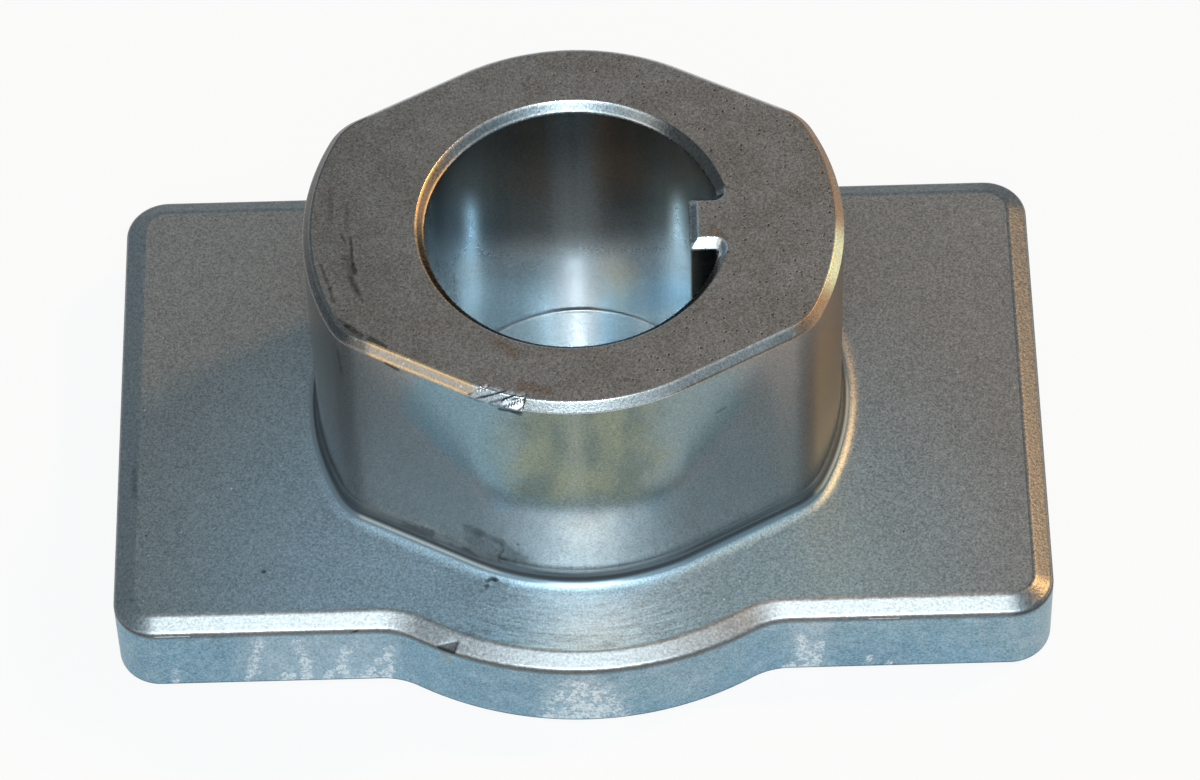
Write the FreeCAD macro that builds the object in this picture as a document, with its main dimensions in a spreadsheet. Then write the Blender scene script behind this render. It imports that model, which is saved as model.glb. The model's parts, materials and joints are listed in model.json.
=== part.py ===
import FreeCAD, Part
import math
import os
import Sketcher
from FreeCAD import Vector

# Mower blade adapter, pressed and sintered in one piece from steel powder.
# A flat plate carries the blade. A hub with four flats stands on it. The crankshaft
# goes into the hub's socket from above, on an integral key, and a bolt comes through
# the socket's floor from below to clamp the blade.
# The origin is on the socket's axis at the plate's underside. +Z points up the hub,
# X runs along the plate, and the key is on the +X side.

NODE = "blade_adapter"

# Driving dimensions in millimetres and degrees: alias, value, meaning.
SIZES = [
    ("plate_length", 71.4, "plate along X"),
    ("plate_width", 41.8, "plate along Y, between its straight sides"),
    ("plate_thickness", 7.3, "plate along Z"),
    ("plate_corner_radius", 3.3, "rounding of the plate's corners"),
    ("plate_chamfer_width", 1.4, "plate's top chamfer, inwards"),
    ("plate_chamfer_depth", 0.6, "plate's top chamfer, downwards"),
    ("boss_rise", 4.25, "how far the round boss stands out of each straight side"),
    ("boss_blend_radius", 5.6, "hollow blend between the boss and the straight sides"),
    ("total_height", 29.3, "underside to hub top"),
    ("hub_width", 34.6, "hub along Y, across its two round faces"),
    ("hub_flat_angle", 28.4, "turn of each flat from the X direction"),
    ("hub_end_rise", 2.95, "how much larger the hub's end radius is than half its width"),
    ("hub_corner_radius", 4.5, "rounding between the flats and the ends"),
    ("hub_chamfer_width", 0.6, "hub's top chamfer, inwards"),
    ("hub_chamfer_depth", 0.65, "hub's top chamfer, downwards"),
    ("hub_root_radius", 1.5, "fillet between the hub and the plate"),
    ("shaft_diameter", 22.225, "crankshaft end"),
    ("shaft_clearance", 0.075, "socket over shaft, on the diameter"),
    ("key_width", 4.76, "integral key along Y"),
    ("key_height", 2.45, "integral key, inwards from the socket wall"),
    ("mouth_chamfer", 0.65, "chamfer round the socket's mouth and the key's top"),
    ("floor_thickness", 4.0, "socket floor above the underside"),
    ("bolt_diameter", 9.525, "blade bolt"),
    ("bolt_clearance", 1.475, "bolt hole over bolt, on the diameter"),
    ("bolt_hole_chamfer", 0.5, "chamfer of the bolt hole at the underside"),
]

SHEET = "sizes"
TOLERANCE = 1e-4
SMOOTH_ANGLE = math.radians(1)

# Sizes that follow from the driving ones.
BOSS_RADIUS = "sizes.plate_width / 2 + sizes.boss_rise"
HUB_FLAT_RADIUS = "sizes.hub_width / 2"
HUB_END_RADIUS = "sizes.hub_width / 2 + sizes.hub_end_rise"
SOCKET_RADIUS = "(sizes.shaft_diameter + sizes.shaft_clearance) / 2"
SOCKET_DEPTH = "sizes.total_height - sizes.floor_thickness"
KEY_FACE = "(sizes.shaft_diameter + sizes.shaft_clearance) / 2 - sizes.key_height"
BOLT_HOLE_RADIUS = "(sizes.bolt_diameter + sizes.bolt_clearance) / 2"


def fill_sheet(doc):
    """The spreadsheet with one row per driving dimension: meaning, value."""
    sheet = doc.addObject("Spreadsheet::Sheet", SHEET)
    for row, (alias, value, meaning) in enumerate(SIZES, start=1):
        sheet.set(f"A{row}", meaning)
        sheet.set(f"B{row}", str(value))
        sheet.setAlias(f"B{row}", alias)
    doc.recompute()
    return sheet


def new_sketch(body, name):
    """An empty sketch on the body's XY plane."""
    sketch = body.newObject("Sketcher::SketchObject", name)
    plane = next(feature for feature in body.Origin.OriginFeatures if feature.Role == "XY_Plane")
    sketch.AttachmentSupport = (plane, "")
    sketch.MapMode = "FlatFace"
    return sketch


def bind(sketch, name, expression, constraint):
    """Adds a named dimension to a sketch and ties it to the sheet."""
    index = sketch.addConstraint(constraint)
    sketch.renameConstraint(index, name)
    sketch.setExpression(f"Constraints.{name}", expression)


def line(start, end):
    return Part.LineSegment(Vector(*start, 0), Vector(*end, 0))


def arc(radius, start, end):
    """An arc about the origin, anticlockwise between two angles in radians."""
    return Part.ArcOfCircle(Part.Circle(Vector(), Vector(0, 0, 1), radius), start, end)


def polar(radius, angle):
    return radius * math.cos(angle), radius * math.sin(angle)


def centre_on_origin(sketch, *rounds):
    for index in rounds:
        sketch.addConstraint(Sketcher.Constraint("Coincident", index, 3, -1, 1))


def rectangle_sketch(body, name, sheet):
    """The plate's rectangle, centred on the origin."""
    half_x = sheet.plate_length / 2
    half_y = sheet.plate_width / 2
    corners = [(-half_x, -half_y), (half_x, -half_y), (half_x, half_y), (-half_x, half_y)]
    sketch = new_sketch(body, name)
    for start, end in zip(corners, corners[1:] + corners[:1]):
        sketch.addGeometry(line(start, end))
    for index in range(4):
        sketch.addConstraint(Sketcher.Constraint("Coincident", index, 2, (index + 1) % 4, 1))
    for index, direction in enumerate(["Horizontal", "Vertical", "Horizontal", "Vertical"]):
        sketch.addConstraint(Sketcher.Constraint(direction, index))
    sketch.addConstraint(Sketcher.Constraint("Symmetric", 0, 1, 2, 1, -1, 1))
    bind(sketch, "length", "sizes.plate_length", Sketcher.Constraint("DistanceX", 0, 1, 0, 2, 2 * half_x))
    bind(sketch, "width", "sizes.plate_width", Sketcher.Constraint("DistanceY", 1, 1, 1, 2, 2 * half_y))
    return sketch


def circle_sketch(body, name, radius, expression):
    """One circle about the origin."""
    sketch = new_sketch(body, name)
    sketch.addGeometry(Part.Circle(Vector(), Vector(0, 0, 1), radius))
    centre_on_origin(sketch, 0)
    bind(sketch, "radius", expression, Sketcher.Constraint("Radius", 0, radius))
    return sketch


def hub_sketch(body, name, sheet):
    """The hub's outline: two end arcs and two smaller arcs about the axis, joined by four flats.

    Each flat is tangent to a smaller arc and meets an end arc in a corner.
    """
    flat_radius = sheet.hub_width / 2
    end_radius = flat_radius + sheet.hub_end_rise
    turn = math.radians(sheet.hub_flat_angle)
    tangent = math.pi / 2 - turn
    corner = tangent - math.acos(flat_radius / end_radius)
    sketch = new_sketch(body, name)
    for half_turn in (0, math.pi):
        flat_start, flat_end = half_turn + corner, half_turn + tangent
        next_start, next_end = half_turn + math.pi - tangent, half_turn + math.pi - corner
        sketch.addGeometry(arc(end_radius, half_turn - corner, flat_start))
        sketch.addGeometry(line(polar(end_radius, flat_start), polar(flat_radius, flat_end)))
        sketch.addGeometry(arc(flat_radius, flat_end, next_start))
        sketch.addGeometry(line(polar(flat_radius, next_start), polar(end_radius, next_end)))
    centre_on_origin(sketch, 0, 2, 4, 6)
    for end_arc, first_flat, round_face, second_flat, next_end in [(0, 1, 2, 3, 4), (4, 5, 6, 7, 0)]:
        sketch.addConstraint(Sketcher.Constraint("Coincident", end_arc, 2, first_flat, 1))
        sketch.addConstraint(Sketcher.Constraint("Tangent", first_flat, 2, round_face, 1))
        sketch.addConstraint(Sketcher.Constraint("Tangent", round_face, 2, second_flat, 1))
        sketch.addConstraint(Sketcher.Constraint("Coincident", second_flat, 2, next_end, 1))
        sketch.addConstraint(Sketcher.Constraint("Horizontal", round_face, 1, round_face, 2))
    sketch.addConstraint(Sketcher.Constraint("Equal", 0, 4))
    sketch.addConstraint(Sketcher.Constraint("Equal", 2, 6))
    bind(sketch, "end_radius", HUB_END_RADIUS, Sketcher.Constraint("Radius", 0, end_radius))
    bind(sketch, "flat_radius", HUB_FLAT_RADIUS, Sketcher.Constraint("Radius", 2, flat_radius))
    for side, round_face in [("back", 2), ("front", 6)]:
        bind(sketch, f"{side}_sweep", "2 * sizes.hub_flat_angle",
             Sketcher.Constraint("Angle", round_face, 2 * turn))
    return sketch


def socket_sketch(body, name, sheet):
    """The socket's outline: a circle about the axis, broken on the +X side by the key."""
    radius = (sheet.shaft_diameter + sheet.shaft_clearance) / 2
    half_key = sheet.key_width / 2
    key_face = radius - sheet.key_height
    root_angle = math.asin(half_key / radius)
    sketch = new_sketch(body, name)
    sketch.setExpression("AttachmentOffset.Base.z", "sizes.total_height")
    sketch.addGeometry(arc(radius, root_angle, 2 * math.pi - root_angle))
    sketch.addGeometry(line(polar(radius, root_angle), (key_face, half_key)))
    sketch.addGeometry(line((key_face, half_key), (key_face, -half_key)))
    sketch.addGeometry(line((key_face, -half_key), polar(radius, -root_angle)))
    centre_on_origin(sketch, 0)
    for first, first_end, second, second_end in [(0, 1, 1, 1), (1, 2, 2, 1), (2, 2, 3, 1), (3, 2, 0, 2)]:
        sketch.addConstraint(Sketcher.Constraint("Coincident", first, first_end, second, second_end))
    for key_side in (1, 3):
        sketch.addConstraint(Sketcher.Constraint("Horizontal", key_side))
    sketch.addConstraint(Sketcher.Constraint("Symmetric", 2, 1, 2, 2, -1))
    bind(sketch, "radius", SOCKET_RADIUS, Sketcher.Constraint("Radius", 0, radius))
    bind(sketch, "key_width", "sizes.key_width", Sketcher.Constraint("DistanceY", 2, 2, 2, 1, 2 * half_key))
    bind(sketch, "key_face", KEY_FACE, Sketcher.Constraint("DistanceX", -1, 1, 2, 1, key_face))
    return sketch


def pad(body, name, sketch, expression):
    feature = body.newObject("PartDesign::Pad", name)
    feature.Profile = sketch
    feature.setExpression("Length", expression)
    body.Document.recompute()
    return feature


def pocket(body, name, sketch, expression, upwards):
    """Cuts a sketch's outline down from its plane, or up, and makes sure that something was cut."""
    before = body.Shape.Volume
    feature = body.newObject("PartDesign::Pocket", name)
    feature.Profile = sketch
    feature.Reversed = upwards
    feature.setExpression("Length", expression)
    body.Document.recompute()
    if not body.Shape.Volume < before - TOLERANCE:
        raise RuntimeError(f"{name} cuts nothing")
    return feature


def edges_where(shape, test):
    """Names of the shape's edges that pass a test."""
    names = [f"Edge{number}" for number, edge in enumerate(shape.Edges, start=1) if test(edge)]
    if not names:
        raise RuntimeError("no edge passes the test")
    return names


def same(first, second):
    return abs(first - second) < TOLERANCE


def upright(edge):
    box = edge.BoundBox
    return box.ZLength > TOLERANCE and max(box.XLength, box.YLength) < TOLERANCE


def level_at(height):
    """A test for edges that lie wholly at one height."""
    def lies_level(edge):
        return same(edge.BoundBox.ZMin, height) and same(edge.BoundBox.ZMax, height)
    return lies_level


def sharp(shape, edge):
    """True where the two faces at an edge meet at an angle, not smoothly."""
    middle = edge.valueAt((edge.FirstParameter + edge.LastParameter) / 2)
    faces = shape.ancestorsOfType(edge, Part.Face)
    first, second = [face.normalAt(*face.Surface.parameter(middle)) for face in faces]
    return first.cross(second).Length > math.sin(SMOOTH_ANGLE)


def fillet(body, name, edges, expression):
    base = body.Tip
    feature = body.newObject("PartDesign::Fillet", name)
    feature.Base = (base, edges)
    feature.setExpression("Radius", expression)
    body.Document.recompute()
    return feature


def chamfer(body, name, edges, downwards, inwards=None):
    """A chamfer by its depth down the wall and, where that differs, its width across the level face."""
    base = body.Tip
    feature = body.newObject("PartDesign::Chamfer", name)
    feature.Base = (base, edges)
    feature.setExpression("Size", downwards)
    if inwards:
        feature.ChamferType = "Two distances"
        feature.setExpression("Size2", inwards)
    body.Document.recompute()
    return feature


def build_plate(body, sheet):
    """The plate with its boss, its rounded outline and the chamfer round its top."""
    outline = rectangle_sketch(body, "plate_outline", sheet)
    pad(body, "plate", outline, "sizes.plate_thickness")
    boss_radius = sheet.plate_width / 2 + sheet.boss_rise
    boss_outline = circle_sketch(body, "boss_outline", boss_radius, BOSS_RADIUS)
    pad(body, "boss", boss_outline, "sizes.plate_thickness")
    half_x = sheet.plate_length / 2

    def at_plate_end(edge):
        return upright(edge) and same(abs(edge.Vertexes[0].X), half_x)

    def at_boss_side(edge):
        return upright(edge) and sharp(body.Shape, edge)

    fillet(body, "plate_corners", edges_where(body.Shape, at_plate_end), "sizes.plate_corner_radius")
    fillet(body, "boss_blends", edges_where(body.Shape, at_boss_side), "sizes.boss_blend_radius")
    chamfer(body, "plate_chamfer", edges_where(body.Shape, level_at(sheet.plate_thickness)),
            "sizes.plate_chamfer_depth", "sizes.plate_chamfer_width")


def build_hub(body, sheet):
    """The hub with its rounded corners, the fillet at its root and the chamfer round its top."""
    pad(body, "hub", hub_sketch(body, "hub_outline", sheet), "sizes.total_height")

    def at_hub_corner(edge):
        return upright(edge) and same(edge.BoundBox.ZMax, sheet.total_height) and sharp(body.Shape, edge)

    def at_hub_root(edge):
        faces = body.Shape.ancestorsOfType(edge, Part.Face)
        reaches_up = any(same(face.BoundBox.ZMax, sheet.total_height) for face in faces)
        return level_at(sheet.plate_thickness)(edge) and reaches_up

    fillet(body, "hub_corners", edges_where(body.Shape, at_hub_corner), "sizes.hub_corner_radius")
    fillet(body, "hub_root", edges_where(body.Shape, at_hub_root), "sizes.hub_root_radius")
    chamfer(body, "hub_chamfer", edges_where(body.Shape, level_at(sheet.total_height)),
            "sizes.hub_chamfer_depth", "sizes.hub_chamfer_width")


def build_socket(body, sheet):
    """The keyed socket with its chamfered mouth, and the bolt hole through its floor."""
    pocket(body, "socket", socket_sketch(body, "socket_outline", sheet), SOCKET_DEPTH, upwards=False)

    def at_mouth(edge):
        faces = body.Shape.ancestorsOfType(edge, Part.Face)
        reaches_floor = any(same(face.BoundBox.ZMin, sheet.floor_thickness) for face in faces)
        return level_at(sheet.total_height)(edge) and reaches_floor

    chamfer(body, "socket_mouth", edges_where(body.Shape, at_mouth), "sizes.mouth_chamfer")
    hole_radius = (sheet.bolt_diameter + sheet.bolt_clearance) / 2
    hole_outline = circle_sketch(body, "bolt_hole_outline", hole_radius, BOLT_HOLE_RADIUS)
    pocket(body, "bolt_hole", hole_outline, "sizes.floor_thickness", upwards=True)

    def at_hole_rim(edge):
        return level_at(0)(edge) and same(edge.BoundBox.XLength, 2 * hole_radius)

    chamfer(body, "bolt_hole_rim", edges_where(body.Shape, at_hole_rim), "sizes.bolt_hole_chamfer")


def check(doc, body):
    """Stops if a feature failed or the solid isn't whole."""
    for item in doc.Objects:
        if "Invalid" in item.State or "Error" in item.State:
            raise RuntimeError(f"{item.Name} failed: {item.State}")
        if item.TypeId == "Sketcher::SketchObject" and not item.FullyConstrained:
            raise RuntimeError(f"{item.Name} is not fully constrained")
    shape = body.Shape
    if shape.isNull() or not shape.isValid() or len(shape.Solids) != 1:
        raise RuntimeError(f"{body.Label} is not one sound solid")


def main():
    doc = FreeCAD.newDocument("mower_blade_adapter")
    sheet = fill_sheet(doc)
    body = doc.addObject("PartDesign::Body", NODE)
    body.Label = NODE
    body.Placement = FreeCAD.Placement()
    build_plate(body, sheet)
    build_hub(body, sheet)
    build_socket(body, sheet)
    doc.recompute()
    check(doc, body)
    os.makedirs("parts", exist_ok=True)
    body.Shape.exportStep(f"parts/{body.Label}.step")
    box = body.Shape.BoundBox
    print(f"{body.Label}: {box.XLength:.2f} x {box.YLength:.2f} x {box.ZLength:.2f} mm,"
          f" {body.Shape.Volume:.1f} mm3, {len(body.Shape.Faces)} faces")


main()
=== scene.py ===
"""A mower blade adapter: one piece of pressed and sintered steel, handled and knocked, on a pale floor."""
import json
import math
import bpy
import numpy as np
from mathutils import Matrix, Vector


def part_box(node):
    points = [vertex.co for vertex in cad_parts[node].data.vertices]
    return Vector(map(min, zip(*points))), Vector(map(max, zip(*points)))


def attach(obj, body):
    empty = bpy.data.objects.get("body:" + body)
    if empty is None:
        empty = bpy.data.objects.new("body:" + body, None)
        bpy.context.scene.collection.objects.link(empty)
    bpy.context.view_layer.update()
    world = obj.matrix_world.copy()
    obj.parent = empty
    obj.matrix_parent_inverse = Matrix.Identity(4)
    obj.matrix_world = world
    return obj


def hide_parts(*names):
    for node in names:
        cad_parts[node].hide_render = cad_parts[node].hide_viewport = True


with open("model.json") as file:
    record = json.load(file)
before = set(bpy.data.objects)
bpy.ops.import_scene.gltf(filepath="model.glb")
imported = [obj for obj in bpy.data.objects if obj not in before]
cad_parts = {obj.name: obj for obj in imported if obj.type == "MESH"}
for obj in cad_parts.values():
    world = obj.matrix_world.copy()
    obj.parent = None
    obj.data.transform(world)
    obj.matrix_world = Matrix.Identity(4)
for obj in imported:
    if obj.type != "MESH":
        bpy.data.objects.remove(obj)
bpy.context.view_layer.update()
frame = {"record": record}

# Lengths are in millimetres until a mesh, lamp or camera is placed, and angles are in degrees.
METRE = 0.001
NODE = "blade_adapter"
mounts = {mount["name"]: mount for mount in frame["record"]["mounts"]}
_, top_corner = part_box(NODE)
PLATE_HALF_LENGTH, BOSS_RADIUS, HEIGHT = (side / METRE for side in top_corner)
SOCKET_RADIUS = mounts["crankshaft_socket"]["dims"]["r_mm"]
HOLE_RADIUS = mounts["bolt_hole"]["dims"]["r_mm"]

# The plate and its boss.
PLATE_HALF_WIDTH = 20.9
PLATE_TOP = 7.3
PLATE_CORNER = 3.3
PLATE_CHAMFER = (1.4, 0.6)
BOSS_BLEND = 5.6
# The hub.
HUB_FLAT_RADIUS = 17.3
HUB_END_RADIUS = 20.25
HUB_FLAT_TURN = 28.4
HUB_CORNER = 4.5
HUB_CHAMFER = (0.6, 0.65)
HUB_ROOT = 1.5
# The keyed socket and the bolt hole in its floor.
KEY_HALF_WIDTH = 2.38
KEY_HEIGHT = 2.45
KEY_ROOT = 0.3
KEY_TIP = 0.22
MOUTH_CHAMFER = 0.65
SOCKET_FLOOR = 4.0
HOLE_CHAMFER = 0.5
# How far the press tools' edges and handling have rounded each edge.
RIM_FOOT_ROUND = 0.25
RIM_HEAD_ROUND = 0.4
PLATE_EDGE_ROUND = 0.8
HUB_EDGE_ROUND = 0.12
FLOOR_ROUND = 0.28
HOLE_ROUND = 0.1
# The least radius of the key's tips, where the socket grows.
SMALLEST_TIP = 0.01
# How far each profile's first and last rows lie from the edges beside them.
UNDERSIDE_MARGIN = 2.0
PLATE_MARGIN = 3.0
ROOT_MARGIN = 2.4
HUB_MARGIN = 1.6
MOUTH_MARGIN = 1.2
FLOOR_MARGIN = 1.0
HOLE_MARGIN = 0.8
HOLE_FOOT_MARGIN = 1.2
# How closely the outlines are sampled before the columns are drawn from them.
TABLE_STEPS = 400
FINE_ANGLES = 40000


def four_fold(quarter):
    """A whole outline from the arcs of its first quadrant: mirrored across Y, then turned by half a turn."""
    mirrored = [(-x, y, r, 180 - last, 180 - first) for x, y, r, first, last in reversed(quarter)]
    half = quarter + mirrored
    return half + [(-x, -y, r, first + 180, last + 180) for x, y, r, first, last in half]


def plate_arcs():
    """The plate's outline as arcs: rounded corners, and a boss that hollow blends join to the straight sides.

    An arc is (centre x, centre y, radius, first angle, last angle), where the angles are those of the outward
    normal and a hollow arc has a negative radius, so that every point is centre + radius * normal.
    """
    blend_y = PLATE_HALF_WIDTH + BOSS_BLEND
    blend_x = math.sqrt((BOSS_RADIUS + BOSS_BLEND) ** 2 - blend_y ** 2)
    meeting = math.degrees(math.atan2(blend_y, blend_x))
    corner_x = PLATE_HALF_LENGTH - PLATE_CORNER
    corner_y = PLATE_HALF_WIDTH - PLATE_CORNER
    return four_fold([
        (corner_x, corner_y, PLATE_CORNER, 0, 90),
        (blend_x, blend_y, -BOSS_BLEND, 90, meeting),
        (0, 0, BOSS_RADIUS, meeting, 90),
    ])


def hub_arcs():
    """The hub's outline as arcs: two ends and two round faces about the axis, and corners by the flats."""
    flat_normal = math.radians(90 - HUB_FLAT_TURN)
    inner_flat = HUB_FLAT_RADIUS - HUB_CORNER
    inner_end = HUB_END_RADIUS - HUB_CORNER
    along = math.sqrt(inner_end ** 2 - inner_flat ** 2)
    corner_x = inner_flat * math.cos(flat_normal) + along * math.sin(flat_normal)
    corner_y = inner_flat * math.sin(flat_normal) - along * math.cos(flat_normal)
    corner_turn = math.degrees(math.atan2(corner_y, corner_x))
    return four_fold([
        (0, 0, HUB_END_RADIUS, 0, corner_turn),
        (corner_x, corner_y, HUB_CORNER, corner_turn, 90 - HUB_FLAT_TURN),
        (0, 0, HUB_FLAT_RADIUS, 90 - HUB_FLAT_TURN, 90),
    ])


def arc_points(arc, steps):
    """Points and unit normals along one arc."""
    x, y, radius, first, last = arc
    angle = np.radians(np.linspace(first, last, steps))
    normal = np.stack([np.cos(angle), np.sin(angle)], 1)
    return np.array([x, y]) + radius * normal, normal


def joined(arcs, arc_steps, run_steps, closed):
    """Points and normals along arcs and the straight runs between them, each run cut into equal steps."""
    pieces = [arc_points(arc, arc_steps) for arc in arcs]
    followers = pieces[1:] + pieces[:1] if closed else pieces[1:]
    points, normals = [], []
    for index, (point, normal) in enumerate(pieces):
        points.append(point)
        normals.append(normal)
        if index < len(followers):
            share = np.linspace(0, 1, run_steps + 1)[1:-1, None]
            points.append(point[-1] * (1 - share) + followers[index][0][0] * share)
            normals.append(np.repeat(normal[-1:], run_steps - 1, 0))
    return np.concatenate(points), np.concatenate(normals)


def ray_table(arcs):
    """An outline as a dense table over the polar angle: angle, x, y, normal x, normal y."""
    point, normal = joined(arcs, TABLE_STEPS, TABLE_STEPS, closed=True)
    angle = np.degrees(np.arctan2(point[:, 1], point[:, 0])) % 360
    order = np.argsort(angle)
    return angle[order], np.concatenate([point, normal], 1)[order]


def along_rays(table, angles):
    """An outline's points and normals where rays from the axis at these angles meet it."""
    known, values = table
    found = np.stack([np.interp(angles % 360, known, column, period=360) for column in values.T], 1)
    return found[:, :2], found[:, 2:]


def length_by_angle(table, angles):
    """How far along an outline each ray meets it, as a share of the whole way round."""
    point, _ = along_rays(table, angles)
    steps = np.linalg.norm(np.diff(point, axis=0), axis=1)
    way = np.concatenate([[0], np.cumsum(steps)])
    return way / way[-1]


# Columns run up and over the whole part. Each has an angle about the axis, and the first ones follow the key.
PLATE_TABLE = ray_table(plate_arcs())
HUB_TABLE = ray_table(hub_arcs())
KEY_EDGE_TURN = math.degrees(math.asin((KEY_HALF_WIDTH + KEY_ROOT) / (SOCKET_RADIUS - KEY_ROOT)))
ROUND_COLUMNS = 820
KEY_ARC_STEPS = 8
KEY_RUN_STEPS = 9
KEY_STRETCHES = 7
# Behind the key the columns spread from its narrow face, so that none crosses another on the hub's top.
KEY_FAN_TURN = 3.4
# Over the socket's floor they swing round the key, and meet the hole at these angles: from the foot's start,
# the side's start and the side's end. Past the last angle they run straight towards the axis.
HOLE_FAN_TURN, HOLE_SIDE_TURN, HOLE_TIP_TURN = 50, 44, 27
HOLE_FAN_END = 130
# Rows on the floor, as shares of the way from its edge to the hole.
FLOOR_SHARES = (0.016, 0.3)
# The knocked edges are at the front left, where the columns stand closer.
KNOCKS_FROM, KNOCKS_TO = 239, 260
KNOCKS_SHARE = 0.18


def column_angles():
    """Angles of the columns past the key: even along the plate and the hub, and closer at the knocks."""
    fine = np.linspace(KEY_EDGE_TURN, 360 - KEY_EDGE_TURN, FINE_ANGLES)
    at_knocks = np.clip((fine - KNOCKS_FROM) / (KNOCKS_TO - KNOCKS_FROM), 0, 1)
    even = (1 - KNOCKS_SHARE) / 2
    lengths = length_by_angle(PLATE_TABLE, fine) + length_by_angle(HUB_TABLE, fine)
    share = even * lengths + KNOCKS_SHARE * at_knocks
    return np.interp(np.linspace(0, 1, ROUND_COLUMNS), share, fine)


def key_columns(grow):
    """The key's outline, low side to high, with the socket grown by so much.

    Its seven stretches are a foot, a side, a tip, the face, a tip, a side and a foot.
    """
    tip = max(KEY_TIP - grow, SMALLEST_TIP)
    half = KEY_HALF_WIDTH - grow
    face = SOCKET_RADIUS - KEY_HEIGHT + grow
    foot = KEY_ROOT + grow
    foot_y = KEY_HALF_WIDTH + KEY_ROOT
    foot_x = math.sqrt((SOCKET_RADIUS - KEY_ROOT) ** 2 - foot_y ** 2)
    arcs = [
        (foot_x, -foot_y, foot, -KEY_EDGE_TURN, 90),
        (face + tip, -half + tip, -tip, 90, 0),
        (face + tip, half - tip, -tip, 0, -90),
        (foot_x, foot_y, foot, -90, KEY_EDGE_TURN),
    ]
    point, _ = joined(arcs, KEY_ARC_STEPS, KEY_RUN_STEPS, closed=False)
    return point[:-1]


round_angles = column_angles()[:-1]
key_count = len(key_columns(0))


def key_spread(shares, turns):
    """An angle for each of the key's columns: turns at shares of the way along, mirrored past the middle."""
    shares, turns = np.array(shares), np.array(turns)
    way = np.arange(key_count) / key_count
    return np.interp(way, [*shares, *(1 - shares[::-1])], [*-turns, *turns[::-1]])


def rays(angles):
    """Unit vectors in plan at these angles."""
    return np.stack([np.cos(np.radians(angles)), np.sin(np.radians(angles))], 1)


key_angles = key_spread([0, KEY_ARC_STEPS / key_count], [KEY_EDGE_TURN, KEY_FAN_TURN])
ANGLES = np.concatenate([key_angles, round_angles])
RAYS = rays(ANGLES)
fan_shares = [0, 1 / KEY_STRETCHES, 2 / KEY_STRETCHES]
key_fan = key_spread(fan_shares, [HOLE_FAN_TURN, HOLE_SIDE_TURN, HOLE_TIP_TURN])
fan_from = [KEY_EDGE_TURN, HOLE_FAN_END, 360 - HOLE_FAN_END, 360 - KEY_EDGE_TURN]
fan_to = [HOLE_FAN_TURN, HOLE_FAN_END, 360 - HOLE_FAN_END, 360 - HOLE_FAN_TURN]
HOLE_RAYS = rays(np.concatenate([key_fan, np.interp(round_angles, fan_from, fan_to)]))
PLATE_POINTS, PLATE_NORMALS = along_rays(PLATE_TABLE, ANGLES)
HUB_POINTS, HUB_NORMALS = along_rays(HUB_TABLE, ANGLES)


def plate_loop(offset):
    """The plate's outline, moved outwards by an offset."""
    return PLATE_POINTS + offset * PLATE_NORMALS


def hub_loop(offset):
    """The hub's outline, moved outwards by an offset."""
    return HUB_POINTS + offset * HUB_NORMALS


def socket_loop(grow):
    """The keyed socket's outline, grown into the metal."""
    return np.concatenate([key_columns(grow), (SOCKET_RADIUS + grow) * RAYS[key_count:]])


def hole_loop(grow):
    """The bolt hole's circle, grown into the metal."""
    return (HOLE_RADIUS + grow) * HOLE_RAYS


def floor_loop(share):
    """A loop on the socket's floor, a share of the way from the rounding at its edge to the bolt hole."""
    return (1 - share) * socket_loop(-FLOOR_ROUND) + share * hole_loop(HOLE_MARGIN)


# Rows close to each rounded edge, so that the faces beside it stay flat.
SUPPORTS = (0.07, 0.45)


def rounded(corners, rounds, rows):
    """A profile of straight runs with rounded corners, as rows of (offset, height, stretch number).

    An arc of the given radius and steps leaves each run and joins the next, tangent to both. Supporting rows
    lie close to each arc, and so many more within each run. Runs are even stretches and arcs are odd ones.
    """
    corners = np.array(corners, float)
    runs = np.diff(corners, axis=0)
    ways = runs / np.linalg.norm(runs, axis=1)[:, None]
    starts, ends, arcs = [corners[0]], [], []
    for number, (radius, steps) in enumerate(rounds):
        way, next_way = ways[number], ways[number + 1]
        turn = math.acos(np.clip(way @ next_way, -1, 1))
        side = np.array([-way[1], way[0]])
        side *= np.sign(side @ next_way)
        start = corners[number + 1] - radius * math.tan(turn / 2) * way
        angle = np.linspace(0, turn, steps + 1)[:, None]
        arc = start + radius * (np.sin(angle) * way + (1 - np.cos(angle)) * side)
        ends.append(start)
        starts.append(arc[-1])
        arcs.append(arc)
    ends.append(corners[-1])
    table = []
    for number, (start, end) in enumerate(zip(starts, ends)):
        length = np.linalg.norm(end - start)
        near = [support for support in SUPPORTS if support < length / 3]
        after_arc = near if number > 0 else [0]
        before_arc = [length - support for support in reversed(near)] if number < len(arcs) else [length]
        within = np.linspace(after_arc[-1], before_arc[0], rows[number] + 2)[1:-1]
        for reach in [*after_arc, *within, *before_arc]:
            table.append((*(start + (end - start) * reach / length), 2 * number))
        if number < len(arcs):
            table.extend((*point, 2 * number + 1) for point in arcs[number])
    return table


# The finish of each stretch of each profile, a run and an arc by turns.
PLATE_FINISHES = ["underside"] + ["rim"] * 2 + ["plate_edge"] * 3 + ["plate_face"]
HUB_FINISHES = ["plate_face"] * 2 + ["hub_wall"] + ["hub_edge"] * 3 + ["hub_top"]
SOCKET_FINISHES = ["hub_top"] + ["mouth_edge"] * 3 + ["socket"] * 2
FLOOR_FINISHES = ["socket"]
HOLE_FINISHES = ["socket"] * 3 + ["underside"] * 4

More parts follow.
